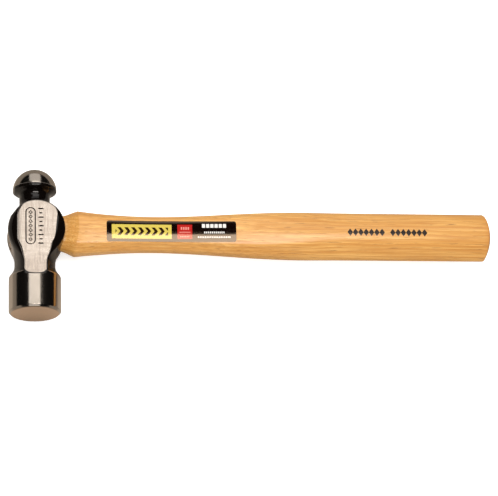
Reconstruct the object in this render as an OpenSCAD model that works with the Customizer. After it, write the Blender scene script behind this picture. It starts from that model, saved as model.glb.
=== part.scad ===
// Ball peen hammer, 12 oz: a forged steel head wedged on a hickory handle.
// The hammer lies on its side. +X runs from the head to the butt, +Y from the
// striking face to the ball, and +Z is the normal of the upper cheek. Everything is
// laid out from the centre of the eye, then moved so that the origin is at the
// middle of the underside.

/* [Head] */
// Radius of the ball peen
ball_r = 12.35; // [11.5:0.05:13.5]
// Distance from the eye to the centre of the ball
ball_y = 26.05; // [25:0.05:30]
// Radius of the round neck under the ball
ball_neck_r = 8.45; // [7:0.05:9.5]
// Radius of the bulged body round the eye
body_r = 16.3; // [15.5:0.1:17.5]
// How far the body bulges towards the handle
body_shift = 0.8; // [0:0.1:1.2]
// Thickness of the head across its two cheeks
cheek_t = 27; // [25:0.5:28]
// Height of the bevel between a cheek and the side of the body
bevel_h = 1.65; // [0.5:0.05:2.5]
// Width of that bevel
bevel_w = 2.2; // [1:0.1:3]
// Half-width of the waist between body and poll
waist_w = 11.5; // [11:0.05:12]
// Radius of the poll
poll_r = 14.75; // [14.3:0.05:16]
// Distance from the eye to the rim of the poll
poll_rim_y = 26.8; // [26:0.2:29]
// Distance from the eye to the striking face
face_y = 47.85; // [45:0.05:54]
// Radius of the flat striking face
face_r = 13.05; // [12:0.05:13.5]

/* [Eye] */
// Length of the eye, along the head
eye_l = 19.9; // [18:0.1:20.5]
// Width of the eye, across the cheeks
eye_w = 12.8; // [11:0.2:13.4]

/* [Handle] */
// Distance from the eye to the tip of the domed butt
butt_x = 265; // [235:1:310]
// Half-height of the shoulder beside the head
shoulder_a = 12.9; // [12.3:0.1:14.5]
// Half-thickness of the shoulder
shoulder_b = 9.1; // [8.2:0.1:10.2]
// Half-height of the slim neck
neck_a = 10.1; // [9.7:0.1:11.5]
// Half-thickness of the slim neck
neck_b = 8; // [7.3:0.1:9]
// Half-height of the grip
grip_a = 14; // [12.5:0.1:15.5]
// Half-thickness of the grip
grip_b = 10.6; // [9.3:0.1:11.5]
// Radius of the domed butt
dome_r = 21.1; // [18:0.1:29]
// How far the bevelled neck is turned about the handle's length, in degrees
neck_roll = 5; // [0:0.5:8]

/* [Wedges] */
// Depth of the saw kerf in the tenon
kerf_depth = 20; // [16:1:23]
// Thickness of the wooden wedge at the mouth of the kerf
wedge_t = 3; // [2:0.1:4]
// Length of each steel wedge, along the handle
steel_l = 13; // [10:0.5:15]
// Width of each steel wedge, across the wooden one
steel_w = 9.6; // [8:0.2:10.2]
// Thickness of each steel wedge at its head
steel_t = 2.2; // [1.5:0.1:2.6]
// Distance of each steel wedge from the middle of the eye
steel_y = 4.5; // [4:0.1:5.2]

/* [Label] */
// Where the label starts, from the eye
label_x = 41.1; // [39:0.1:58]
// Length of the label
label_l = 72.9; // [50:0.1:85]
// Height of the label
label_h = 12; // [8:0.2:12.6]
// Thickness of the printed foil
label_t = 0.15; // [0.1:0.05:0.3]

/* [Hidden] */
$fn = 96;

// Head
ball_cut = 0.8;           // the ball is cut this far below its equator
undercut_h = 3.75;        // height of the cone between ball and neck
flare_r = 9.35;           // hollow of the flare from the waist to the poll
flare_y = 18.8;           // where that flare leaves the waist
rim_h = 1.65;             // height of the eased rim of the poll
rim_w = 0.7;              // width of that easing
waist_crown_r = 21.5;     // roundness of the waist's two sides
gusset_y = 16.9;          // the hollow between body and waist ends here
gusset_w = 8.3;           // half-width of the gusset there
cheek_z = cheek_t / 2;
side_z = cheek_z - bevel_h;
ball_rim_r = sqrt(pow(ball_r, 2) - pow(ball_cut, 2));
face_bevel = poll_r - face_r;
flare_end_y = poll_rim_y - rim_h;
body_left_x = body_shift - body_r;

// Handle
end_inset = 0.3;          // the tenon stops this far inside the round of the body
mouth_x = 13.9;           // from here the tongue widens, outside the eye's long ends
clear_x = 17.5;           // and from here it thickens, clear of the body
shoulder_x = 24.3;        // ridge of the shoulder
neck_x = 67.5;            // slimmest point of the neck
grip_x = 159;             // the grip is full from here
oval_x = 183;             // and its bevels have faded out here
tongue_a = eye_l / 2;
tongue_b = eye_w / 2;
flat_share = 0.66;        // share of the height that the flat side takes
side_share = 0.48;        // share of the thickness that the flat edge takes
crisp = 16;               // how crisp the corners of the bevels are
around = 40;              // points round a section of the handle
dome_x = butt_x - dome_r;
dome_start_x = dome_x + sqrt(pow(dome_r, 2) - pow(grip_a, 2)) - 1;
tip_angle = 2;            // the dome's last ring, seen from its centre
dome_start_angle = acos((dome_start_x - dome_x) / dome_r);
kerf_tip_t = 0.9;
steel_tip_t = 0.6;
label_gap = 0.06;         // adhesive between the foil and the facets of the wood
label_columns = 18;
label_steps = 8;

// Origin of the part, from the eye: the middle of its underside
origin = [(butt_x + body_left_x) / 2, (ball_y + ball_r - face_y) / 2, -poll_r];

// ---- Functions ------------------------------------------------------------

function blend(p, q, t) = p + (q - p) * t;
function ramp(x, x0, x1) = min(max((x - x0) / (x1 - x0), 0), 1);
function ease(x, x0, x1) = let (t = ramp(x, x0, x1)) t * t * (3 - 2 * t);

// Half of the handle's height or thickness at x: tongue, shoulder, neck and grip
function profile(x, tongue, shoulder, neck, grip, start) =
    x < shoulder_x ? blend(tongue, shoulder, ramp(x, start, shoulder_x))
    : x < neck_x ? blend(neck, shoulder, pow(1 - ramp(x, shoulder_x, neck_x), 2))
    : blend(neck, grip, ease(x, neck_x, grip_x));
function half_a(x) = profile(x, tongue_a, shoulder_a, neck_a, grip_a, mouth_x);
function half_b(x) = profile(x, tongue_b, shoulder_b, neck_b, grip_b, clear_x);

// Distances from the axis at angle t: an oval with straight sides like the eye,
// a bevelled bar and a plain oval
function eye_section(t, a, b) =
    let (c = abs(cos(t)), s = abs(sin(t)), d = a - b)
    b * c <= d * s ? b / s : d * c + sqrt(b * b - d * d * s * s);
function bevel_section(t, a, b) =
    let (
        c = abs(cos(t)), s = abs(sin(t)),
        f = a * flat_share, g = b * side_share, k = f * g - a * b,
        u = c / a, v = s / b, w = (c * (g - b) + s * (f - a)) / k
    )
    pow(pow(u, crisp) + pow(v, crisp) + pow(w, crisp), -1 / crisp);
function oval_section(t, a, b) = 1 / sqrt(pow(cos(t) / a, 2) + pow(sin(t) / b, 2));

// Distance from the axis to the surface of the handle at x and angle t
function surface_r(x, t) =
    let (
        a = half_a(x), b = half_b(x),
        bevelled = blend(bevel_section(t, a, b), oval_section(t, a, b),
            ease(x, neck_x + 40, oval_x)),
        r = blend(eye_section(t, a, b), bevelled, ease(x, clear_x, shoulder_x - 2)),
        dome = x > dome_x ? sqrt(max(pow(dome_r, 2) - pow(x - dome_x, 2), 0)) : r
    )
    min(r, dome);
function roll(x) = neck_roll * ease(x, clear_x, shoulder_x + 8)
    * (1 - ease(x, grip_x - 40, oval_x));
function surface_point(x, t, gap = 0) =
    let (r = surface_r(x, t) + gap) [x, r * cos(t + roll(x)), r * sin(t + roll(x))];

// Stations along the handle, closest where its shape changes fastest
stations = concat(
    [body_left_x - 1, mouth_x],
    [for (i = [1:6]) blend(mouth_x, shoulder_x, i / 6)],
    [for (i = [1:10]) blend(shoulder_x, neck_x, i / 10)],
    [for (i = [1:18]) blend(neck_x, grip_x, i / 18)],
    [for (i = [1:3]) blend(grip_x, oval_x, i / 3)],
    [for (i = [0:9]) dome_x + dome_r * cos(blend(dome_start_angle, tip_angle, i / 9))]
);

// ---- Building blocks ------------------------------------------------------

// Turned round the length of the head, measured from the eye towards the ball
module along_head() rotate([-90, 0, 0]) children();

module eye_prism(x0, x1) {
    straight = eye_l - eye_w;
    translate([x0, 0, 0]) rotate([0, 90, 0]) linear_extrude(x1 - x0) {
        square([eye_w, straight], center = true);
        for (side = [-1, 1]) translate([0, side * straight / 2]) circle(d = eye_w);
    }
}

// Closed skin over rows of points that all have the same length
module rings(rows) {
    n = len(rows[0]);
    m = len(rows);
    polyhedron(
        points = [for (row = rows) for (p = row) p],
        faces = concat(
            [[for (j = [0:n - 1]) j]],
            [for (i = [0:m - 2]) for (j = [0:n - 1])
                let (k = (j + 1) % n, p = i * n + j, q = i * n + k) [p, p + n, q + n]],
            [for (i = [0:m - 2]) for (j = [0:n - 1])
                let (k = (j + 1) % n, p = i * n + j, q = i * n + k) [p, q + n, q]],
            [[for (j = [n - 1:-1:0]) (m - 1) * n + j]]
        )
    );
}

// Everything inside the round end that the tenon and its wedges are trimmed to
module trimmed_end() intersection() {
    children();
    union() {
        translate([body_shift, 0, -cheek_t]) cylinder(r = body_r - end_inset, h = 2 * cheek_t);
        translate([0, -cheek_t, -cheek_t]) cube([butt_x + 1, 2 * cheek_t, 2 * cheek_t]);
    }
}

// Taper that is thick at the open end of the eye and thin inside, seen along its width
module taper(length, thick, tip) {
    x0 = body_left_x - 1;
    x1 = body_left_x + end_inset + length;
    polygon([[x0, -thick / 2], [x1, -tip / 2], [x1, tip / 2], [x0, thick / 2]]);
}

module kerf() rotate([90, 0, 0])
    linear_extrude(eye_l + 1, center = true) taper(kerf_depth, wedge_t, kerf_tip_t);

module steel_taper(side) translate([0, side * steel_y, 0])
    linear_extrude(steel_w, center = true) taper(steel_l, steel_t, steel_tip_t);

// ---- Head -----------------------------------------------------------------

module ball_and_neck() along_head() {
    translate([0, 0, ball_y]) intersection() {
        sphere(ball_r);
        translate([0, 0, -ball_cut]) cylinder(r = ball_r + 1, h = 2 * ball_r);
    }
    translate([0, 0, ball_y - ball_cut - undercut_h])
        cylinder(r1 = ball_neck_r, r2 = ball_rim_r, h = undercut_h);
    cylinder(r = ball_neck_r, h = ball_y - ball_cut - undercut_h);
}

module body() translate([body_shift, 0, 0]) {
    cylinder(r = body_r, h = 2 * side_z, center = true);
    for (side = [0, 1]) mirror([0, 0, side])
        translate([0, 0, side_z]) cylinder(r1 = body_r, r2 = body_r - bevel_w, h = bevel_h);
}

// Waist: two flat cheeks and two crowned sides
module waist() intersection() {
    side_crown(1);
    side_crown(-1);
    translate([-poll_r, -poll_rim_y - 1, -cheek_z]) cube([2 * poll_r, poll_rim_y + 1, cheek_t]);
}
module side_crown(side) translate([side * (waist_w - waist_crown_r), 0, 0])
    rotate([90, 0, 0]) cylinder(r = waist_crown_r, h = poll_rim_y + 2);

// Web that carries the round of the body on towards the waist
module gusset() translate([body_shift, 0, 0]) linear_extrude(2 * side_z, center = true)
    polygon([[-body_r * cos(45), -body_r * sin(45)], [-gusset_w, -gusset_y],
        [gusset_w, -gusset_y], [body_r * cos(45), -body_r * sin(45)], [0, 0]]);

module poll() mirror([0, 1, 0]) along_head() {
    rotate_extrude() difference() {
        translate([0, flare_y]) square([waist_w + 2.6, flare_end_y - flare_y]);
        translate([waist_w + flare_r, flare_y]) circle(flare_r);
    }
    translate([0, 0, flare_end_y]) cylinder(r1 = poll_r - rim_w, r2 = poll_r, h = rim_h);
    translate([0, 0, poll_rim_y]) cylinder(r = poll_r, h = face_y - face_bevel - poll_rim_y);
    translate([0, 0, face_y - face_bevel]) cylinder(r1 = poll_r, r2 = face_r, h = face_bevel);
}

module head() translate(-origin) color("silver") difference() {
    union() {
        ball_and_neck();
        body();
        gusset();
        waist();
        poll();
    }
    eye_prism(-body_r - 2, body_r + 2);
}

// ---- Handle and wedges ----------------------------------------------------

module handle() translate(-origin) color("burlywood") difference() {
    trimmed_end() rings([for (x = stations)
        [for (i = [0:around - 1]) surface_point(x, i * 360 / around)]]);
    kerf();
    for (side = [-1, 1]) steel_taper(side);
}

module wood_wedge() translate(-origin) color("tan") difference() {
    trimmed_end() intersection() {
        kerf();
        eye_prism(body_left_x - 2, butt_x);
    }
    for (side = [-1, 1]) steel_taper(side);
}

module steel_wedge(side) translate(-origin) color("dimgray") trimmed_end() steel_taper(side);
module steel_wedge_ball_side() steel_wedge(1);
module steel_wedge_face_side() steel_wedge(-1);

// ---- Label ----------------------------------------------------------------

// The foil follows the flat side of the neck between these two angles
function label_edge_angle(x) = atan2(half_b(x), label_h / 2);
function label_point(x, gap, share) =
    surface_point(x, blend(label_edge_angle(x), 180 - label_edge_angle(x), share), gap);

// Each row of points runs round the edge of the foil
module label() translate(-origin) color("black")
    rings([for (c = [0:label_columns])
        let (x = label_x + label_l * c / label_columns)
        concat(
            [for (i = [0:label_steps]) label_point(x, label_gap + label_t, i / label_steps)],
            [for (i = [label_steps:-1:0]) label_point(x, label_gap, i / label_steps)]
        )]);

head();
handle();
wood_wedge();
steel_wedge_ball_side();
steel_wedge_face_side();
label();
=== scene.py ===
"""Looks of the ball peen hammer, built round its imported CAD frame."""
import math
import bpy
import numpy as np
from mathutils import Matrix, Vector


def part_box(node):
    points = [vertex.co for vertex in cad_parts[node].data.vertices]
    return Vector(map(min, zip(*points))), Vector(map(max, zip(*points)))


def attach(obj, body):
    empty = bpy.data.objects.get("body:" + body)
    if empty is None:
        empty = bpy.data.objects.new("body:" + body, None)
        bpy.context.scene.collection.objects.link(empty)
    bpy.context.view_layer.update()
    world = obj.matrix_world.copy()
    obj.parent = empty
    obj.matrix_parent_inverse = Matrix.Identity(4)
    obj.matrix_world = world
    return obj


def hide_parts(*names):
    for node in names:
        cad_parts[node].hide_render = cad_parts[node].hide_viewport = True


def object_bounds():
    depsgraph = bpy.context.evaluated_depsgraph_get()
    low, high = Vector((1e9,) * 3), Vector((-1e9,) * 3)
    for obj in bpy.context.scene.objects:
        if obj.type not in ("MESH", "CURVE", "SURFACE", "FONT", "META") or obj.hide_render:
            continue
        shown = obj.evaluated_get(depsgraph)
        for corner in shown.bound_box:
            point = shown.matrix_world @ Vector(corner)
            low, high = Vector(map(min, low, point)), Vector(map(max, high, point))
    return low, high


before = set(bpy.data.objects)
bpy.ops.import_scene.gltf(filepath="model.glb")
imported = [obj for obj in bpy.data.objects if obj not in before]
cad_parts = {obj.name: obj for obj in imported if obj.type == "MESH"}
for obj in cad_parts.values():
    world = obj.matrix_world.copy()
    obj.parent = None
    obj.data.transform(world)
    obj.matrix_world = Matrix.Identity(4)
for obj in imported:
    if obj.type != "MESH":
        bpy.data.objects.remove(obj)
cad_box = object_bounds()

MM = 0.001

# ---- Driving dimensions in millimetres, from the centre of the eye -----------------

# Head: +y is the ball's side, and the poll's places are distances towards -y
BALL_R, BALL_Y, BALL_CUT = 12.5, 25.9, 0.8
BALL_NECK_R, UNDERCUT_H = 8.65, 1.55
HOLLOW_R, HOLLOW_Y, HOLLOW_L = 9.0, 21.0, 6.0
BODY_R, BODY_SHIFT, BODY_CROWN = 16.3, 0.8, 0.3
CHEEK_Z, BEVEL_H, BEVEL_W = 13.5, 1.65, 2.2
WAIST_W, WAIST_CROWN_R = 11.35, 21.5
POLL_R, POLL_RIM_Y = 14.75, 26.8
FACE_Y, FACE_R = 48.15, 13.4
CHAMFER_Y = FACE_Y + FACE_R - POLL_R
FLARE_R, FLARE_Y = 9.35, 19.1
STEP_Y, STEP_SLOPE = 28.2, 2.0
EYE_L, EYE_W = 19.9, 12.8

# Handle: half-heights A and half-thicknesses B, and the places where its section changes
SHOULDER_A, SHOULDER_B = 12.9, 9.1
NECK_A, NECK_B = 10.1, 8.0
GRIP_A, GRIP_B = 14.0, 10.6
NECK_ROLL = math.radians(5)
MOUTH_X, CLEAR_X, SHOULDER_X = 13.9, 17.5, 23.9
NECK_X, GRIP_X, OVAL_X = 67.5, 159.0, 183.0
TAIL_X, DOME_R, BUTT_CORNER_R = 264.2, 26.0, 0.7
END_INSET = 0.3

KERF_DEPTH, WEDGE_T, KERF_TIP_T = 20.0, 3.0, 0.9
STEEL_L, STEEL_W, STEEL_T, STEEL_TIP_T, STEEL_Y = 13.0, 9.6, 2.2, 0.6, 4.5
LABEL_X, LABEL_L, LABEL_H, LABEL_CORNER_R = 40.4, 74.0, 12.0, 1.3
LABEL_T, LABEL_GAP = 0.15, 0.01

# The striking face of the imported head, which fixes where the eye is
CAD_FACE_Y = 47.85
head_low, head_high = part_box("head")
EYE = np.array([
    head_low[0] / MM + BODY_R - BODY_SHIFT,
    head_low[1] / MM + CAD_FACE_Y,
    (head_low[2] + head_high[2]) / 2 / MM,
])


# ---- Small mathematics -------------------------------------------------------------

def ramp(x, x0, x1):
    return np.clip((x - x0) / (x1 - x0), 0, 1)


def ease(x, x0, x1):
    t = ramp(x, x0, x1)
    return t * t * (3 - 2 * t)


def mix(p, q, t):
    return p + (q - p) * t


def smooth_max(a, b, k):
    """The larger of two distances, with the corner between them rounded over k."""
    h = np.clip(k - np.abs(a - b), 0, None) / k
    return np.maximum(a, b) + h * h * k / 4


def smooth_min(a, b, k):
    return -smooth_max(-a, -b, k)


def centred_row(count, pitch):
    """Places of a row of marks, with its middle at zero."""
    return [(i - (count - 1) / 2) * pitch for i in range(count)]


# ---- Meshes ------------------------------------------------------------------------

def new_object(name, points, faces):
    """Mesh from points in millimetres from the eye, riding on the one body."""
    mesh = bpy.data.meshes.new(name)
    mesh.from_pydata(((np.asarray(points) + EYE) * MM).tolist(), [], [tuple(f) for f in faces])
    mesh.update()
    obj = bpy.data.objects.new(name, mesh)
    bpy.context.collection.objects.link(obj)
    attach(obj, "root")
    return obj


def shade(obj, angle=None):
    """Smooth shading, with the edges sharper than the angle kept crisp."""
    mesh = obj.data
    mesh.polygons.foreach_set("use_smooth", [True] * len(mesh.polygons))
    if angle is not None:
        mesh.set_sharp_from_angle(angle=math.radians(angle))
    mesh.update()


# ---- Head: one implicit solid, meshed on a graded grid --------------------------------

# How far the inner corners between two parts of the head are filled
NECK_FILL, PEEN_FILL, GUSSET_FILL, POLL_FILL = 1.2, 4.5, 6.5, 0.7
# How far its outer edges are rounded
BALL_EDGE, BEVEL_EDGE, EYE_EDGE, STAMP_EDGE = 0.3, 0.4, 0.7, 0.12
RIM_EDGE, CHAMFER_EDGE, FACE_EDGE = 1.4, 0.08, 0.35
# Where the neck, the waist and the poll end, each inside the part that it grows out of
NECK_ROOT_Y, WAIST_ROOT_Y, POLL_ROOT_Y = 4.0, 4.0, FLARE_Y - 1


def eye_distance(y, z):
    """Distance outside the eye's outline, an oval with straight sides."""
    straight = (EYE_L - EYE_W) / 2
    return np.hypot(np.maximum(np.abs(y) - straight, 0), z) - EYE_W / 2


def peen(x, y, z):
    """Ball, undercut cone, and round neck that flares towards the ball."""
    rho = np.hypot(x, z)
    ball = np.sqrt(rho ** 2 + (y - BALL_Y) ** 2) - BALL_R
    cut_y = BALL_Y - BALL_CUT
    rim_r = math.sqrt(BALL_R ** 2 - BALL_CUT ** 2)
    overhang = rim_r - BALL_NECK_R
    slant = math.hypot(overhang, UNDERCUT_H)
    cone = ((rho - rim_r) * UNDERCUT_H - (y - cut_y) * overhang) / slant
    rise = np.clip(y - HOLLOW_Y, 0, HOLLOW_L)
    flare = HOLLOW_R - np.sqrt(HOLLOW_R ** 2 - rise ** 2)
    neck = np.maximum(rho - BALL_NECK_R - flare, np.maximum(y - BALL_Y, NECK_ROOT_Y - y))
    return smooth_min(smooth_max(ball, cone, BALL_EDGE), neck, NECK_FILL)


def body(x, y, z):
    """The bulge round the eye, running on into the waist, between two flat cheeks."""
    crown = BODY_CROWN * (z / CHEEK_Z) ** 2
    disc = np.hypot(x - BODY_SHIFT, y) - BODY_R + crown
    offset = WAIST_CROWN_R - WAIST_W
    waist = smooth_max(np.hypot(x + offset, z), np.hypot(x - offset, z), 1.0) - WAIST_CROWN_R
    waist = np.maximum(np.maximum(waist, y - WAIST_ROOT_Y), -POLL_RIM_Y - y)
    sides = smooth_min(disc, waist, GUSSET_FILL)
    # Away from the handle the cheek rolls off a little, and its edge is rounder
    rolled = 0.0425 * np.clip(-7.0 - x, 0, None) ** 2 * ease(y, -22, -12)
    cheeks = np.abs(z) - CHEEK_Z + rolled
    edge = mix(0.5, 4.0, ease(x, -4, -13) * ease(y, -20, -12))
    # The bevel narrows towards the poll and the ball, and is widest beside the handle
    share = mix(0.12, 1.0, ease(y, -19, -8)) * mix(1.0, 0.2, ease(y, 6, 13))
    share = share * (1 + 0.9 * ease(x, 2, 8) * ease(y, 8, -1) * ease(y, -16, -5))
    wide, high = BEVEL_W * share, BEVEL_H * share
    bevel = (high * (sides + wide) + wide * cheeks) / np.hypot(wide, high)
    return smooth_max(smooth_max(sides, cheeks, edge), bevel, BEVEL_EDGE)


def poll(x, y, z):
    """Flare, eased rim, round poll, chamfer and striking face."""
    rho, depth = np.hypot(x, z), -y
    rise = np.clip(depth - FLARE_Y, 0, FLARE_R * 0.999)
    flare = WAIST_W + FLARE_R - np.sqrt(FLARE_R ** 2 - rise ** 2)
    wall = rho - smooth_min(flare, POLL_R, RIM_EDGE)
    chamfer = (rho + depth - FACE_R - FACE_Y) / math.sqrt(2)
    end = smooth_max(smooth_max(wall, chamfer, CHAMFER_EDGE), depth - FACE_Y, FACE_EDGE)
    return np.maximum(end, POLL_ROOT_Y - depth)


def rounded_box(x, y, half_x, half_y, corner):
    qx, qy = np.abs(x) - half_x + corner, np.abs(y) - half_y + corner
    outside = np.hypot(np.maximum(qx, 0), np.maximum(qy, 0))
    return outside + np.minimum(np.maximum(qx, qy), 0) - corner


STAMP_DEPTH, STAMP_LINE, STAMP_FLOOR_FILL = 0.22, 0.24, 0.1
CAPSULE_X, CAPSULE_HALF = -2.8, (2.6, 10.9)
LOZENGES, LOZENGE_PITCH, LOZENGE_HALF = 7, 2.7, 0.95
TICKS, TICKS_X, TICK_PITCH = 9, 3.0, 2.6
TICK_HALVES, TICK_LINE, TICK_CORNER = (1.4, 0.8), 0.36, 0.15


def stamp_outline(x, y):
    """Flat pattern of the stamp: a long capsule with a row of lozenges, and a row of ticks."""
    marks = np.abs(rounded_box(x - CAPSULE_X, y, *CAPSULE_HALF, CAPSULE_HALF[0])) - STAMP_LINE
    for mark_y in centred_row(LOZENGES, LOZENGE_PITCH):
        outline = np.abs(x - CAPSULE_X) + np.abs(y - mark_y) - LOZENGE_HALF
        marks = np.minimum(marks, np.abs(outline) - STAMP_LINE)
    for i, mark_y in enumerate(centred_row(TICKS, TICK_PITCH)):
        tick = rounded_box(x - TICKS_X, y - mark_y, TICK_HALVES[i % 2], TICK_LINE, TICK_CORNER)
        marks = np.minimum(marks, tick)
    return marks


def head_distance(p):
    x, y, z = p[..., 0], p[..., 1], p[..., 2]
    solid = smooth_min(body(x, y, z), peen(x, y, z), PEEN_FILL)
    solid = smooth_min(solid, poll(x, y, z), POLL_FILL)
    # The flat cheeks cut a little way into the poll and end in a sharp step
    step = STEP_SLOPE * np.clip(-y - STEP_Y, 0, None)
    solid = np.maximum(solid, np.abs(z) - CHEEK_Z - step)
    solid = smooth_max(solid, -eye_distance(y, z), EYE_EDGE)
    stamp = smooth_max(stamp_outline(x, y), CHEEK_Z - STAMP_DEPTH - z, STAMP_FLOOR_FILL)
    return smooth_max(solid, -stamp, STAMP_EDGE)


def graded(low, high, coarse, *dense):
    """Grid lines from low to high, closer together inside each (from, to, step) span."""
    lines = np.arange(low, high, coarse)
    for start, stop, step in dense:
        outside = lines[(lines < start) | (lines > stop)]
        lines = np.concatenate([outside, np.arange(start, stop, step)])
    return np.unique(np.round(lines, 4))


def surface_net(distance, axes):
    """Quads on the zero surface of a distance function, sampled on three axes of grid lines."""
    nodes = np.stack(np.meshgrid(*axes, indexing="ij"), -1)
    field = distance(nodes)
    inside = field < 0
    shape = np.array(field.shape) - 1
    corners = np.array([[i, j, k] for i in (0, 1) for j in (0, 1) for k in (0, 1)])
    count = np.zeros(shape, dtype=np.int8)
    for i, j, k in corners:
        count += inside[i:i + shape[0], j:j + shape[1], k:k + shape[2]]
    cells = np.argwhere((count > 0) & (count < len(corners)))
    number = np.full(shape, -1)
    number[tuple(cells.T)] = np.arange(len(cells))

    # One point in each cell that the surface crosses: the middle of its crossings
    total, hits = np.zeros((len(cells), 3)), np.zeros(len(cells))
    for a in range(len(corners)):
        for b in range(a + 1, len(corners)):
            if np.abs(corners[a] - corners[b]).sum() != 1:
                continue
            ia, ib = tuple((cells + corners[a]).T), tuple((cells + corners[b]).T)
            fa, fb = field[ia], field[ib]
            crosses = (fa < 0) != (fb < 0)
            t = np.where(crosses, fa / np.where(crosses, fa - fb, 1), 0)[:, None]
            total += crosses[:, None] * mix(nodes[ia], nodes[ib], t)
            hits += crosses
    points = total / hits[:, None]

    # One quad round each grid edge that the surface crosses
    faces = []
    for axis in range(3):
        here = [slice(1, -1)] * 3
        here[axis] = slice(0, -1)
        there = list(here)
        there[axis] = slice(1, None)
        a, b = inside[tuple(here)], inside[tuple(there)]
        edges = np.argwhere(a != b)
        first = edges + (np.arange(3) != axis)
        back_u, back_v = np.roll(np.eye(3, dtype=int), -axis - 1, 0)[:2]
        ring = [first, first - back_u, first - back_u - back_v, first - back_v]
        quads = np.stack([number[tuple(r.T)] for r in ring], 1)
        leaving = a[tuple(edges.T)]
        faces.append(np.where(leaving[:, None], quads, quads[:, ::-1]))
    return points, np.concatenate(faces)


def gradient(distance, points, step=0.02):
    out = np.empty_like(points)
    for i in range(3):
        d = np.zeros(3)
        d[i] = step
        out[:, i] = (distance(points + d) - distance(points - d)) / (2 * step)
    return out


def settle(distance, points, rounds):
    """Moves points straight onto the zero surface, in short steps."""
    flattest, longest = 0.05, 0.5
    for _ in range(rounds):
        slope = gradient(distance, points)
        steepness = np.maximum((slope ** 2).sum(1), flattest)
        move = np.clip(distance(points) / steepness, -longest, longest)
        points = points - move[:, None] * slope
    return points


def relax(points, faces, share):
    """Moves each point part of the way to the middle of the faces round it."""
    total, hits = np.zeros_like(points), np.zeros(len(points))
    middle = points[faces].mean(1)
    for c in range(4):
        np.add.at(total, faces[:, c], middle)
        np.add.at(hits, faces[:, c], 1)
    return mix(points, total / np.maximum(hits, 1)[:, None], share)


def make_head():
    coarse = 0.54
    # Closer lines where the stamp, the step and the edge of the chamfer are
    axes = [
        graded(-17, 19, coarse, (-5.8, 4.8, 0.2)),
        graded(-49, 39.5, coarse, (-12.2, 12.2, 0.2), (-29.0, -28.0, 0.2),
               (-CHAMFER_Y - 0.25, -CHAMFER_Y + 0.25, 0.1)),
        graded(-15.6, 15.7, coarse, (13.05, 13.75, 0.14)),
    ]
    points, faces = surface_net(head_distance, axes)
    for _ in range(2):
        points = settle(head_distance, relax(points, faces, 0.5), 2)
    points = settle(head_distance, points, 2)
    head = new_object("hammer_head", points, faces.tolist())
    shade(head)
    normals = gradient(head_distance, points)
    normals /= np.linalg.norm(normals, axis=1, keepdims=True)
    head.data.normals_split_custom_set_from_vertices(normals.tolist())
    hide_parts("head")
    return head


# ---- Handle ------------------------------------------------------------------------

# Share of the height and thickness that the flats take, crispness of the corners between
# the bevels, and how far the flat sides are crowned
FLAT_SHARE, SIDE_SHARE, CRISP, CROWN = 0.66, 0.48, 26, 0.035
# The ridge of the shoulder: its bow, its slant each way, and how far it is moved to the head
RIDGE_BOW, RIDGE_SLANT, RIDGE_BACK = 1.6, 0.9, 0.75
# How far outside the head the cutter of a wedge's slot starts
CUTTER_REACH = 1.0


def profile(x, tongue, shoulder, neck, grip, start):
    """Half of the handle's height or thickness at x."""
    near = mix(tongue, shoulder, ramp(x, start, SHOULDER_X))
    slim = mix(neck, shoulder, (1 - ramp(x, SHOULDER_X, NECK_X)) ** 2)
    full = mix(neck, grip, ease(x, NECK_X, GRIP_X))
    return np.where(x < SHOULDER_X, near, np.where(x < NECK_X, slim, full))


def half_a(x):
    return profile(x, EYE_L / 2, SHOULDER_A, NECK_A, GRIP_A, MOUTH_X)


def half_b(x):
    return profile(x, EYE_W / 2, SHOULDER_B, NECK_B, GRIP_B, CLEAR_X)


def tongue_r(a, b, c, s):
    """Outline with flat sides and round ends, at the angle with cosine c and sine s."""
    d = a - b
    flat = b / np.maximum(s, 1e-9)
    ends = d * c + np.sqrt(np.maximum(b * b - d * d * s * s, 0))
    return np.where(b * c <= d * s, flat, ends)


def bar_r(a, b, c, s):
    """Outline of a flat bar with bevelled edges."""
    f, g = a * FLAT_SHARE, b * SIDE_SHARE
    corner = (c * (g - b) + s * (f - a)) / (f * g - a * b)
    bar = ((c / a) ** CRISP + (s / b) ** CRISP + corner ** CRISP) ** (-1 / CRISP)
    return bar * (1 - CROWN * c * c * s)


def surface_r(x, t):
    """Distance from the handle's axis to its surface at x and angle t."""
    c, s = np.abs(np.cos(t)), np.abs(np.sin(t))
    # The ridge of the shoulder slants, and bows towards the butt on the flat sides
    by_ridge = ease(x, MOUTH_X, SHOULDER_X - 2) * (1 - ease(x, SHOULDER_X + 2, SHOULDER_X + 14))
    shift = (RIDGE_BOW * s ** 2 + RIDGE_SLANT * np.cos(t) - RIDGE_BACK) * by_ridge
    a, b = half_a(x - shift), half_b(x - shift)
    oval = 1 / np.sqrt((c / a) ** 2 + (s / b) ** 2)
    bevelled = mix(bar_r(a, b, c, s), oval, ease(x, NECK_X + 40, OVAL_X))
    return mix(tongue_r(a, b, c, s), bevelled, ease(x, CLEAR_X, SHOULDER_X - 2))


def roll(x):
    return NECK_ROLL * ease(x, CLEAR_X, SHOULDER_X + 8) * (1 - ease(x, GRIP_X - 40, OVAL_X))


def surface_point(x, t, gap=0.0):
    r = surface_r(x, t) + gap
    return np.stack(np.broadcast_arrays(x, r * np.cos(t + roll(x)), r * np.sin(t + roll(x))), -1)


def grid_faces(rows, columns, closed=True):
    faces = []
    for i in range(rows - 1):
        this, after = i * columns, (i + 1) * columns
        for j in range(columns if closed else columns - 1):
            k = (j + 1) % columns
            faces.append([after + j, after + k, this + k, this + j])
    return faces


def tenon_end_x(y):
    """The tenon is trimmed to the round of the body, a little inside it."""
    radius = BODY_R - END_INSET
    return BODY_SHIFT - np.sqrt(radius ** 2 - y ** 2)


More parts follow.
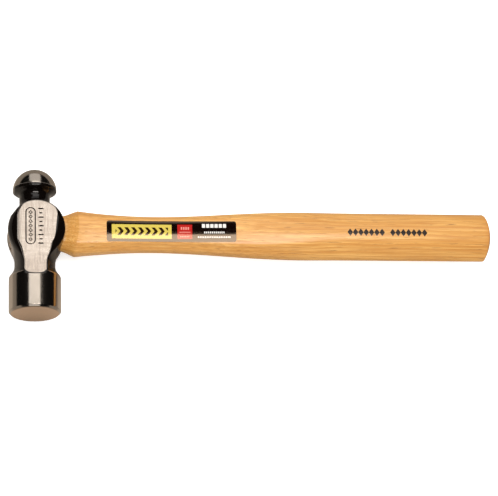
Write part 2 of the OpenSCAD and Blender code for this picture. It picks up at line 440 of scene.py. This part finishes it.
def prism(outline, axis, half):
    """Closed prism of an outline in (x, w), stretched along the axis 'y' or 'z'."""
    points = []
    for side in (-half, half):
        for x, w in outline:
            points.append((x, side, w) if axis == "y" else (x, w, side))
    n = len(outline)
    faces = [list(range(n)), list(range(2 * n - 1, n - 1, -1))]
    faces += [[i, i + n, (i + 1) % n + n, (i + 1) % n] for i in range(n)]
    return np.array(points), faces


def taper_outline(length, thick, tip):
    """Outline of a slot for a wedge, from outside the tenon's end to the wedge's tip."""
    start = BODY_SHIFT - BODY_R
    x0, x1 = start - CUTTER_REACH, start + END_INSET + length
    return [(x0, -thick / 2), (x1, -tip / 2), (x1, tip / 2), (x0, thick / 2)]


def cut(obj, points, faces):
    """Cuts a closed shape out of an object, with the result applied."""
    tool_mesh = bpy.data.meshes.new("cutter")
    tool_mesh.from_pydata(((points + EYE) * MM).tolist(), [], faces)
    tool = bpy.data.objects.new("cutter", tool_mesh)
    bpy.context.collection.objects.link(tool)
    steps = obj.modifiers.new("cut", "BOOLEAN")
    steps.operation, steps.solver, steps.object = "DIFFERENCE", "EXACT", tool
    done = bpy.data.meshes.new_from_object(obj.evaluated_get(bpy.context.evaluated_depsgraph_get()))
    obj.modifiers.clear()
    obj.data = done
    bpy.data.objects.remove(tool)
    bpy.data.meshes.remove(tool_mesh)


def tenon_rows(angles):
    """Rings from near the middle of the tenon's end out to its rim."""
    rim = surface_point(0.0, angles)
    rows = []
    for share in np.linspace(0.02, 1, 24):
        y, z = rim[:, 1] * share, rim[:, 2] * share
        rows.append(np.stack([tenon_end_x(y), y, z], -1))
    return rows


def butt_rows(angles, wall_x):
    """Rings from the end of the side wall, round the eased corner and over the dome."""
    side = surface_point(wall_x, angles)
    reach = np.hypot(side[:, 1], side[:, 2])
    inner = reach - BUTT_CORNER_R

    def dome(radius):
        return TAIL_X - DOME_R + np.sqrt(DOME_R ** 2 - radius ** 2)

    def ring(x, share):
        return np.stack([x, side[:, 1] * share, side[:, 2] * share], -1)

    corner_x = dome(reach) - BUTT_CORNER_R
    rows = [ring(mix(wall_x, corner_x, s), 1.0) for s in (0.35, 0.7)]
    for s in np.linspace(0, 1, 9):
        x = (1 - s) ** 2 * corner_x + 2 * s * (1 - s) * dome(reach) + s * s * dome(inner)
        rows.append(ring(x, 1 - s * s * BUTT_CORNER_R / reach))
    for s in np.linspace(0.96, 0.03, 24):
        rows.append(ring(dome(inner * s), inner * s / reach))
    return rows


def make_handle():
    around = 192
    step = 1.0
    angles = np.arange(around) * 2 * math.pi / around
    # The side wall ends just short of the butt's corner
    wall_x = TAIL_X - DOME_R + 12
    # Closer stations from the mouth of the eye to the ridge of the shoulder
    stations = np.concatenate([
        np.arange(-9, MOUTH_X, 2.0),
        np.arange(MOUTH_X, SHOULDER_X - 0.6, 0.7),
        SHOULDER_X + np.array([-0.6, -0.25, 0.0, 0.25, 0.6]),
        np.arange(SHOULDER_X + 1.0, wall_x, step),
    ])
    rows = tenon_rows(angles) + [surface_point(x, angles) for x in stations]
    rows += butt_rows(angles, wall_x)
    # The two ends are closed by fans round a point in their middle
    n = len(rows) * around
    last = n - around
    points = np.concatenate([*rows, [[tenon_end_x(0.0), 0, 0], [TAIL_X, 0, 0]]])
    faces = grid_faces(len(rows), around)
    faces += [[j, (j + 1) % around, n] for j in range(around)]
    faces += [[last + (j + 1) % around, last + j, n + 1] for j in range(around)]
    handle = new_object("hickory_handle", points, faces)
    cut(handle, *prism(taper_outline(KERF_DEPTH, WEDGE_T, KERF_TIP_T), "y", EYE_L / 2 + 1))
    for y in (-STEEL_Y, STEEL_Y):
        shape, sides = prism(taper_outline(STEEL_L, STEEL_T, STEEL_TIP_T), "z", STEEL_W / 2)
        cut(handle, shape + [0, y, 0], sides)
    shade(handle, 35)
    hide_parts("handle")
    return handle


# ---- Label -------------------------------------------------------------------------

def make_label():
    """Foil with rounded corners that follows the flat side of the neck."""
    columns, rows = 150, 30
    # Columns lie closer together near the rounded corners
    u = LABEL_L / 2 * (1 - np.cos(np.linspace(0, math.pi, columns)))
    u = mix(u, np.linspace(0, LABEL_L, columns), 0.6)
    into_corner = np.clip(LABEL_CORNER_R - np.minimum(u, LABEL_L - u), 0, None)
    trim = LABEL_CORNER_R - np.sqrt(np.maximum(LABEL_CORNER_R ** 2 - into_corner ** 2, 0))
    x = (LABEL_X + u)[:, None]
    v = (LABEL_H / 2 - trim)[:, None] * np.linspace(-1, 1, rows)[None, :]
    angle = np.arctan2(half_b(x) * np.ones_like(v), v)
    for _ in range(4):
        angle = np.arctan2(surface_r(x, angle) * np.sin(angle), v)
    top = surface_point(x, angle, LABEL_T).reshape(-1, 3)
    under = surface_point(x, angle, LABEL_GAP).reshape(-1, 3)

    n = columns * rows
    faces = grid_faces(columns, rows, closed=False)
    faces += [[i + n for i in reversed(f)] for f in faces]
    ring = [i * rows for i in range(columns)] + [(columns - 1) * rows + j for j in range(1, rows)]
    ring += [i * rows + rows - 1 for i in range(columns - 2, -1, -1)]
    ring += range(rows - 2, 0, -1)
    for i, p in enumerate(ring):
        q = ring[(i + 1) % len(ring)]
        faces.append([q + n, p + n, p, q])
    label = new_object("foil_label", np.concatenate([top, under]), faces)

    # Flat places on the foil in millimetres, for the print
    uv = label.data.uv_layers.new(name="label_mm")
    flat_u = np.broadcast_to(u[:, None], v.shape).ravel()
    flat = np.concatenate([np.stack([flat_u, v.ravel()], -1)] * 2)
    loops = np.empty(len(label.data.loops), dtype=int)
    label.data.loops.foreach_get("vertex_index", loops)
    uv.data.foreach_set("uv", flat[loops].astype(np.float32).ravel())
    shade(label, 40)
    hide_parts("label")
    return label


# ---- Materials ---------------------------------------------------------------------

class Shader:
    """A node material. Most methods add a node or two and return their output."""

    def __init__(self, name):
        self.material = bpy.data.materials.new(name)
        self.material.use_nodes = True
        self.tree = self.material.node_tree
        self.bsdf = self.tree.nodes["Principled BSDF"]

    def node(self, kind, settings=None, **inputs):
        made = self.tree.nodes.new(kind)
        for key, value in (settings or {}).items():
            setattr(made, key, value)
        for key, value in inputs.items():
            self.feed(made.inputs[key.replace("_", " ")], value)
        return made

    def feed(self, socket, value):
        if isinstance(value, bpy.types.NodeSocket):
            self.tree.links.new(value, socket)
        elif value is not None:
            socket.default_value = value

    def math(self, operation, a, b=None, clamp=False):
        made = self.tree.nodes.new("ShaderNodeMath")
        made.operation, made.use_clamp = operation, clamp
        self.feed(made.inputs[0], a)
        self.feed(made.inputs[1], b)
        return made.outputs[0]

    def add(self, a, b):
        return self.math("ADD", a, b)

    def minus(self, a, b):
        return self.math("SUBTRACT", a, b)

    def times(self, first, *others):
        for other in others:
            first = self.math("MULTIPLY", first, other)
        return first

    def either(self, a, b, clamp=False):
        return self.math("MAXIMUM", a, b, clamp)

    def above(self, value, limit):
        return self.math("GREATER_THAN", value, limit)

    def below(self, value, limit):
        return self.math("LESS_THAN", value, limit)

    def between(self, value, low, high):
        return self.times(self.above(value, low), self.below(value, high))

    def repeat(self, value, pitch):
        """Share of the way through each stretch of one pitch, from 0 to 1."""
        return self.math("FRACT", self.math("DIVIDE", value, pitch))

    def vector(self, operation, a, b):
        made = self.node("ShaderNodeVectorMath", {"operation": operation})
        self.feed(made.inputs[0], a)
        made.inputs[1].default_value = b
        return made.outputs["Value" if operation == "DISTANCE" else "Vector"]

    def position(self):
        """Place on the object in millimetres from the eye."""
        coords = self.node("ShaderNodeTexCoord").outputs["Object"]
        scaled = self.node("ShaderNodeVectorMath", {"operation": "SCALE"}, Vector=coords, Scale=1 / MM)
        return self.vector("SUBTRACT", scaled.outputs[0], EYE.tolist())

    def axes(self, vector):
        split = self.node("ShaderNodeSeparateXYZ", Vector=vector)
        return split.outputs[0], split.outputs[1], split.outputs[2]

    def combine(self, x, y, z):
        return self.node("ShaderNodeCombineXYZ", X=x, Y=y, Z=z).outputs[0]

    def noise(self, vector, scale=1.0, detail=2.0, roughness=0.5):
        return self.node("ShaderNodeTexNoise", Vector=vector, Scale=scale, Detail=detail,
                         Roughness=roughness).outputs["Fac"]

    def grain(self, vector, stretch, detail=2.0, roughness=0.5):
        """Noise with its own number of waves per millimetre along each axis."""
        return self.noise(self.vector("MULTIPLY", vector, stretch), 1, detail, roughness)

    def span(self, value, low, high, to_low=0.0, to_high=1.0, smooth=False):
        made = self.node("ShaderNodeMapRange", {
            "interpolation_type": "SMOOTHSTEP" if smooth else "LINEAR"})
        self.feed(made.inputs["Value"], value)
        for key, number in (("From Min", low), ("From Max", high),
                            ("To Min", to_low), ("To Max", to_high)):
            self.feed(made.inputs[key], number)
        return made.outputs[0]

    def blend(self, factor, a, b):
        made = self.node("ShaderNodeMix", {"data_type": "RGBA"})
        self.feed(made.inputs[0], factor)
        for socket, value in ((made.inputs[6], a), (made.inputs[7], b)):
            self.feed(socket, (*value, 1) if isinstance(value, tuple) else value)
        return made.outputs[2]

    def mix_value(self, factor, a, b):
        made = self.node("ShaderNodeMix", {"data_type": "FLOAT"})
        self.feed(made.inputs[0], factor)
        self.feed(made.inputs[2], a)
        self.feed(made.inputs[3], b)
        return made.outputs[0]

    def bump(self, height, strength, distance_mm):
        return self.node("ShaderNodeBump", Height=height, Strength=strength,
                         Distance=distance_mm * MM).outputs[0]

    def finish(self, **inputs):
        for key, value in inputs.items():
            value = (*value, 1) if isinstance(value, tuple) and len(value) == 3 else value
            self.feed(self.bsdf.inputs[key.replace("_", " ")], value)
        return self.material


PAINT, OXIDE, PIT = (0.003, 0.002, 0.0015), (0.03, 0.022, 0.018), (0.16, 0.12, 0.09)
POLISH_DULL, POLISH_PALE = (0.56, 0.495, 0.43), (0.66, 0.585, 0.51)
GROUND_DULL, GROUND_PALE = (0.54, 0.47, 0.405), (0.70, 0.62, 0.55)
GROUND_SWIRL, GROUND_PAINTED_SHADE = (0.46, 0.39, 0.335), (0.42, 0.35, 0.30)
FACE_STEEL = (0.78, 0.555, 0.385)


def head_masks(s, place):
    """Where the head is polished, where it is the striking face, painted, or stamped."""
    x, y, z = s.axes(place)
    # The edges of the paint are a little ragged
    ragged = s.minus(s.noise(place, 1.3, 3), 0.5)
    edge_y = s.add(y, s.times(ragged, 0.3))
    height = s.add(s.math("ABSOLUTE", z), s.times(ragged, 0.06))
    height = s.add(height, s.span(x, -6, -9, 0.0, 0.3))

    # The ground cheek ends in rounded corners just before the step
    corner = s.times(s.math("POWER", s.math("DIVIDE", s.math("ABSOLUTE", x), 6.0), 4), 2.0)
    before_step = s.span(s.minus(edge_y, corner), -STEP_Y + 0.25, -STEP_Y + 0.55)
    ground = s.times(s.span(height, CHEEK_Z - 0.2, CHEEK_Z - 0.03, smooth=True), before_step)
    # Paint stays in the corner where the cheek ends at the poll
    by_step = s.times(s.above(edge_y, -STEP_Y - 0.2), s.above(height, CHEEK_Z - 0.04))

    on_ball = s.span(edge_y, BALL_Y + 0.8, BALL_Y + 1.1, smooth=True)
    on_poll = s.span(edge_y, -POLL_RIM_Y + 0.45, -POLL_RIM_Y + 0.2, smooth=True)
    on_poll = s.times(on_poll, s.minus(1.0, s.either(ground, by_step)))
    on_face = s.span(y, -FACE_Y + 0.25, -FACE_Y + 0.1, smooth=True)
    polished = s.either(on_ball, on_poll)
    # Steel is bare round the end of the eye that faces away from the handle
    round_eye = s.times(s.span(x, -11.0, -13.5, smooth=True), s.span(z, 9.0, 3.0, smooth=True))
    bare = s.either(s.either(ground, polished), round_eye, clamp=True)

    # Oxide left in the bottom of the stamped marks
    below_cheek = s.times(s.span(z, CHEEK_Z - 0.02, CHEEK_Z - 0.08), s.above(z, CHEEK_Z - 0.4))
    stamped = s.times(below_cheek, s.between(x, -5.9, 4.9), s.between(y, -11.4, 11.4))
    painted = s.times(s.minus(1.0, bare), s.minus(1.0, stamped))
    return polished, on_face, painted, stamped


def head_material():
    """Polished ball and poll, bare face, ground cheeks, and gloss black paint between them."""
    s = Shader("forged steel and black paint")
    place = s.position()
    y = s.axes(place)[1]
    polished, on_face, painted, stamped = head_masks(s, place)

    tone = s.noise(place, 0.12, 4)
    brushed = s.grain(place, (0.12, 2.2, 2.2), 4)
    swirl = s.grain(place, (1.1, 0.1, 1.1), 4)
    turned = s.noise(s.combine(0.0, y, 0.0), 9, 5)
    mottle = s.noise(place, 0.8, 5, 0.65)
    pits = s.span(s.noise(place, 3.2, 3, 0.6), 0.7, 0.78)

    cheek = s.blend(s.span(brushed, 0.35, 0.65), GROUND_DULL, GROUND_PALE)
    cheek = s.blend(s.span(swirl, 0.4, 0.65, 0.0, 0.65), cheek, GROUND_SWIRL)
    # Painted shade: the ground cheek darkens towards the poll's end
    cheek = s.blend(s.span(y, -14, -24, 0.0, 0.3, smooth=True), cheek, GROUND_PAINTED_SHADE)
    steel = s.blend(polished, cheek, s.blend(tone, POLISH_DULL, POLISH_PALE))
    steel = s.blend(on_face, steel, FACE_STEEL)
    steel = s.blend(s.times(pits, 0.3), steel, PIT)
    steel = s.blend(stamped, steel, OXIDE)

    rough_ground = s.span(brushed, 0.2, 0.8, 0.17, 0.28)
    rough_polish = s.span(turned, 0.2, 0.8, 0.1, 0.19)
    rough_paint = s.span(mottle, 0.3, 0.7, 0.05, 0.14)
    rough = s.mix_value(polished, rough_ground, rough_polish)
    rough = s.mix_value(painted, rough, rough_paint)
    lines = s.mix_value(polished, brushed, turned)
    relief = s.mix_value(painted, lines, s.times(mottle, 1.5))
    return s.finish(
        Base_Color=s.blend(painted, steel, PAINT),
        Metallic=s.minus(1.0, painted),
        Roughness=s.mix_value(stamped, rough, 0.7),
        Normal=s.bump(relief, 0.12, 0.05),
    )


# Growth rings: their pitch, the share that is early wood, and how far the middle of the
# tree lies to the face's side of the handle and below it
RING_PITCH, EARLY_SHARE, PITH_Y, PITH_Z = 2.3, 0.35, 31.0, 17.0


def wood_colour(s, place, light, middle, dark, pore):
    """Straight-grained hickory: growth rings cut lengthwise, fine fibres and short dark pores."""
    x, y, z = s.axes(place)
    wander = s.minus(s.grain(place, (0.012, 0.09, 0.09), 3), 0.5)
    side = s.add(s.add(y, PITH_Y), s.times(x, 0.01))
    depth = s.add(z, PITH_Z)
    square = s.add(s.times(side, side), s.times(depth, depth))
    distance = s.add(s.math("SQRT", square), s.times(wander, 7))
    rings = s.repeat(distance, RING_PITCH)
    early = s.below(rings, EARLY_SHARE)
    streak = s.grain(place, (0.014, 1.2, 1.2), 4, 0.6)
    fibre = s.grain(place, (0.03, 3.8, 3.8), 3, 0.6)
    cloud = s.grain(place, (0.012, 0.07, 0.07), 2)
    pores = s.span(s.grain(place, (0.11, 3.6, 3.6), 2), 0.585, 0.67)
    pores = s.times(pores, s.add(s.times(early, 0.7), 0.3))

    colour = s.blend(s.span(streak, 0.38, 0.62), light, middle)
    colour = s.blend(s.span(rings, 0.0, 1.0, 0.0, 0.45, smooth=True), colour, dark)
    colour = s.blend(s.span(cloud, 0.4, 0.65, 0.0, 0.3), colour, dark)
    colour = s.blend(s.span(fibre, 0.42, 0.66, 0.0, 0.72), colour, dark)
    colour = s.blend(s.times(pores, 0.75), colour, pore)
    relief = s.minus(s.times(fibre, 0.5), pores)
    return colour, relief


INK_FROM, INK_TO, INK_Y, INK_HALF = 178.7, 225.3, -0.85, 2.25
INK_MARKS, INK_STEEPNESS = 15, 1.9
INK = (0.009, 0.003, 0.002)


def ink_mask(s, place):
    """Generic ink mark on the upper side of the grip: two rows of lozenges with a gap."""
    x, y, z = s.axes(place)
    pitch = (INK_TO - INK_FROM) / INK_MARKS
    along = s.math("DIVIDE", s.minus(x, INK_FROM), pitch)
    cell = s.math("FLOOR", along)
    dx = s.math("ABSOLUTE", s.minus(s.math("FRACT", along), 0.5))
    dy = s.math("ABSOLUTE", s.math("DIVIDE", s.minus(y, INK_Y), INK_HALF))
    lozenge = s.below(s.add(s.times(dx, INK_STEEPNESS), dy), 1.0)
    inside = s.between(along, 0.0, float(INK_MARKS))
    off_middle = s.math("ABSOLUTE", s.minus(cell, (INK_MARKS - 1) / 2))
    mask = s.times(lozenge, inside, s.above(off_middle, 0.5), s.above(z, 0.0))
    worn = s.span(s.noise(place, 3.0, 3), 0.3, 0.45, 0.85, 1.0)
    return s.math("MULTIPLY", mask, worn, clamp=True)


def handle_material():
    s = Shader("lacquered hickory")
    place = s.position()
    x = s.axes(place)[0]
    colour, relief = wood_colour(s, place, (0.84, 0.505, 0.155), (0.74, 0.385, 0.10),
                                 (0.44, 0.165, 0.027), (0.19, 0.065, 0.016))
    colour = s.blend(ink_mask(s, place), colour, INK)
    # End grain is darker at the butt, partly its own colour and partly painted shade over the domed
    # end, and greyed by steel dust at the tenon
    butt_grain_and_shade = s.span(x, TAIL_X - 5.7, TAIL_X - 1.2, 0.0, 0.55, smooth=True)
    colour = s.blend(butt_grain_and_shade, colour, (0.50, 0.19, 0.045))
    dusty = s.span(x, -12.2, -13.6, 0.0, 0.8, smooth=True)
    colour = s.blend(dusty, colour, (0.30, 0.26, 0.22))
    return s.finish(
        Base_Color=colour,
        Roughness=s.span(relief, -0.5, 0.4, 0.42, 0.26),
        Normal=s.bump(relief, 0.55, 0.06),
        Coat_Weight=0.4, Coat_Roughness=0.18, Specular_IOR_Level=0.35,
    )


def wedge_wood_material():
    """Raw wood, with its grain along the long axis of the eye."""
    s = Shader("raw wedge wood")
    x, y, z = s.axes(s.position())
    colour, relief = wood_colour(s, s.combine(y, x, z), (0.45, 0.27, 0.12), (0.38, 0.21, 0.085),
                                 (0.26, 0.13, 0.05), (0.12, 0.06, 0.03))
    return s.finish(Base_Color=colour, Roughness=0.62, Normal=s.bump(relief, 0.5, 0.1),
                    Specular_IOR_Level=0.3)


def wedge_steel_material():
    s = Shader("mill finish wedge steel")
    place = s.position()
    scuff = s.grain(place, (1.5, 9, 1.2), 4)
    rust = s.span(s.noise(place, 0.9, 4), 0.52, 0.7)
    colour = s.blend(scuff, (0.30, 0.28, 0.26), (0.47, 0.44, 0.41))
    colour = s.blend(s.times(rust, 0.5), colour, (0.2, 0.1, 0.05))
    return s.finish(Base_Color=colour, Metallic=0.9, Roughness=s.span(scuff, 0.2, 0.8, 0.3, 0.55),
                    Normal=s.bump(scuff, 0.3, 0.05))


FOIL_BLACK, CHEVRON_BLACK = (0.003, 0.0006, 0.0004), (0.02, 0.008, 0.002)
FOIL_YELLOW, FOIL_RED = (0.575, 0.455, 0.085), (0.40, 0.014, 0.012)
FOIL_PINK, FOIL_WHITE = (0.70, 0.28, 0.23), (0.74, 0.72, 0.69)
CHEVRON_LEAN, CHEVRON_PITCH = 0.8, 3.9


def label_material():
    """Gloss black foil with plain blocks, chevrons and bars in place of print."""
    s = Shader("printed foil")
    uv = s.node("ShaderNodeUVMap", {"uv_map": "label_mm"}).outputs[0]
    u, v, _ = s.axes(uv)

    def box(u0, u1, v0, v1):
        return s.times(s.between(u, u0, u1), s.between(v, v0, v1))

    def bars(u0, u1, v0, v1, pitch, fill):
        """A row of bars that fill a share of each pitch."""
        return s.times(s.below(s.repeat(s.minus(u, u0), pitch), fill), box(u0, u1, v0, v1))

    # The chevrons point to the butt
    lean = s.add(u, s.times(s.math("ABSOLUTE", v), CHEVRON_LEAN))
    chevrons = s.times(s.below(s.repeat(lean, CHEVRON_PITCH), 0.5), box(5.0, 35.0, -2.4, 2.2))
    colour = FOIL_BLACK
    for mask, ink in (
        (box(2.9, 37.0, -4.3, 3.9), FOIL_YELLOW),
        (chevrons, CHEVRON_BLACK),
        (box(40.3, 48.8, -4.3, 4.0), FOIL_RED),
        (bars(42.3, 47.0, 1.0, 2.6, 1.3, 0.6), FOIL_PINK),
        (box(41.5, 47.8, -0.6, -0.2), FOIL_PINK),
        (bars(42.0, 47.4, -3.3, -2.6, 0.9, 0.6), FOIL_PINK),
        (bars(54.4, 68.4, 2.2, 4.4, 2.4, 0.76), FOIL_WHITE),
        (bars(55.6, 67.4, -1.1, 0.0, 1.1, 0.62), FOIL_WHITE),
        (bars(52.0, 70.8, -3.7, -2.8, 1.0, 0.62), FOIL_WHITE),
    ):
        colour = s.blend(mask, colour, ink)
    place = s.position()
    scuff = s.grain(place, (0.4, 2.5, 2.5), 4)
    return s.finish(
        Base_Color=colour,
        Roughness=s.span(scuff, 0.3, 0.7, 0.045, 0.08),
        Normal=s.bump(s.noise(place, 0.35, 2), 0.06, 0.05),
        Specular_IOR_Level=0.85,
        Specular_Tint=(1.0, 0.77, 0.58),
    )


def floor_material():
    """Backlit white table: it glows a little to the camera, and polished steel shows a painted
    reflection of it, a fixed grey darker than the table.
    """
    s = Shader("pale studio table")
    coords = s.node("ShaderNodeTexCoord").outputs["Object"]
    paths = s.node("ShaderNodeLightPath").outputs
    pale = s.blend(s.noise(coords, 900, 3), (0.87, 0.87, 0.865), (0.9, 0.9, 0.895))
    # Painted reflection: in the steel the table is a fixed grey, paler near the head than further out
    head_middle = (EYE[0] * MM, (EYE[1] - 12) * MM, 0)
    from_head = s.vector("DISTANCE", coords, head_middle)
    further_out = s.span(from_head, 0.042, 0.075, smooth=True)
    painted_reflection = s.blend(further_out, (0.38, 0.335, 0.285), (0.20, 0.178, 0.153))
    return s.finish(
        Base_Color=s.blend(paths["Is Glossy Ray"], pale, painted_reflection),
        Roughness=0.9,
        Specular_IOR_Level=0.1,
        Emission_Color=(1.0, 1.0, 1.0),
        Emission_Strength=s.times(paths["Is Camera Ray"], 0.6),
    )


def dress(obj, material):
    obj.data.materials.clear()
    obj.data.materials.append(material)


# ---- Build -------------------------------------------------------------------------

dress(make_head(), head_material())
dress(make_handle(), handle_material())
dress(make_label(), label_material())
dress(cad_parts["wood_wedge"], wedge_wood_material())
wedge_steel = wedge_steel_material()
for name in ("steel_wedge_ball_side", "steel_wedge_face_side"):
    dress(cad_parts[name], wedge_steel)


# ---- Floor, light and camera ------------------------------------------------------------

def from_eye(x, y, z):
    """A place in metres, given in metres from the centre of the eye."""
    return Vector((EYE * MM).tolist()) + Vector((x, y, z))


def make_floor():
    mesh = bpy.data.meshes.new("floor")
    reach = 6.0
    square = [(-reach, -reach, 0), (reach, -reach, 0), (reach, reach, 0), (-reach, reach, 0)]
    mesh.from_pydata(square, [], [(0, 1, 2, 3)])
    floor = bpy.data.objects.new("floor", mesh)
    bpy.context.collection.objects.link(floor)
    floor.location.z = cad_box[0][2] - 0.0002
    dress(floor, floor_material())


def softbox(name, low, high, radiance, colour, painted_reflection=True):
    """Rectangular light between two opposite corners, in metres from the eye, facing the hammer."""
    low, high = from_eye(*low), from_eye(*high)
    across = Vector((1, 0, 0))
    slope = high - low - across * (high.x - low.x)
    centre = (low + high) / 2
    facing = across.cross(slope).normalized()
    if facing.dot(from_eye(0.05, 0, 0) - centre) < 0:
        facing = -facing
    light = bpy.data.lights.new(name, "AREA")
    light.shape = "RECTANGLE"
    light.size, light.size_y = high.x - low.x, slope.length
    light.energy = radiance * math.pi * light.size * light.size_y
    light.color = colour
    lamp = bpy.data.objects.new(name, light)
    bpy.context.collection.objects.link(lamp)
    axes = Matrix((across, facing.cross(across), -facing)).transposed()
    lamp.matrix_world = Matrix.Translation(centre) @ axes.to_4x4()
    lamp.visible_camera = False
    lamp.visible_glossy = painted_reflection


def make_world():
    """Pale surroundings for diffuse light, and dark ones in mirror reflections."""
    world = bpy.data.worlds.new("studio")
    bpy.context.scene.world = world
    world.use_nodes = True
    nodes, links = world.node_tree.nodes, world.node_tree.links
    nodes.clear()
    out = nodes.new("ShaderNodeOutputWorld")
    paths = nodes.new("ShaderNodeLightPath")
    dark, pale = nodes.new("ShaderNodeBackground"), nodes.new("ShaderNodeBackground")
    dark.inputs[0].default_value, dark.inputs[1].default_value = (1, 0.97, 0.94, 1), 0.006
    pale.inputs[0].default_value, pale.inputs[1].default_value = (1, 1, 1, 1), 0.78
    choose = nodes.new("ShaderNodeMixShader")
    links.new(paths.outputs["Is Glossy Ray"], choose.inputs[0])
    links.new(pale.outputs[0], choose.inputs[1])
    links.new(dark.outputs[0], choose.inputs[2])
    links.new(choose.outputs[0], out.inputs[0])


# The camera stands above the hammer, a little to the face's side and to the head's end
CAMERA_YAW, CAMERA_PITCH, CAMERA_ROLL = (math.radians(a) for a in (7.753, 19.76, -2.104))
CAMERA_SHIFT = (0.12192, -0.00803)
CAMERA_DISTANCE = 1.3139
CAMERA_LENS = 166.91


def make_camera():
    turn = (Matrix.Rotation(-CAMERA_YAW, 3, "Y") @ Matrix.Rotation(CAMERA_PITCH, 3, "X")
            @ Matrix.Rotation(CAMERA_ROLL, 3, "Z"))
    data = bpy.data.cameras.new("camera")
    data.sensor_fit = "HORIZONTAL"
    data.sensor_width = 36
    data.lens = CAMERA_LENS
    camera = bpy.data.objects.new("camera", data)
    bpy.context.collection.objects.link(camera)
    stand = from_eye(*(turn @ Vector((*CAMERA_SHIFT, CAMERA_DISTANCE))))
    camera.matrix_world = Matrix.Translation(stand) @ turn.to_4x4()
    bpy.context.scene.camera = camera


make_floor()

# Two bright sheets above the ball's side, a dimmer one sloping down behind them, a hard
# strip overhead, and a card and a fill on the face's side
WARM, SUNNY = (1.0, 0.97, 0.93), (1.0, 0.95, 0.88)
softbox("overhead", (-0.54, 0.265, 1.0), (0.38, 0.42, 1.0), 1.42, WARM)
softbox("overhead far", (-0.30, 0.42, 1.0), (0.60, 0.80, 1.0), 1.35, WARM)
softbox("far side", (-0.55, 0.82, 1.0), (0.60, 2.15, 0.0), 0.65, WARM)
softbox("key strip", (-0.20, -0.16, 0.8), (0.34, 0.115, 0.8), 7.5, SUNNY)
softbox("front card", (-0.50, -1.5, 0.35), (0.36, -1.5, 0.85), 0.8, WARM)
softbox("front fill", (-0.6, -1.6, 0.3), (0.9, -1.0, 1.2), 0.7, WARM, painted_reflection=False)

make_world()
bpy.context.scene.view_settings.view_transform = "Standard"
make_camera()
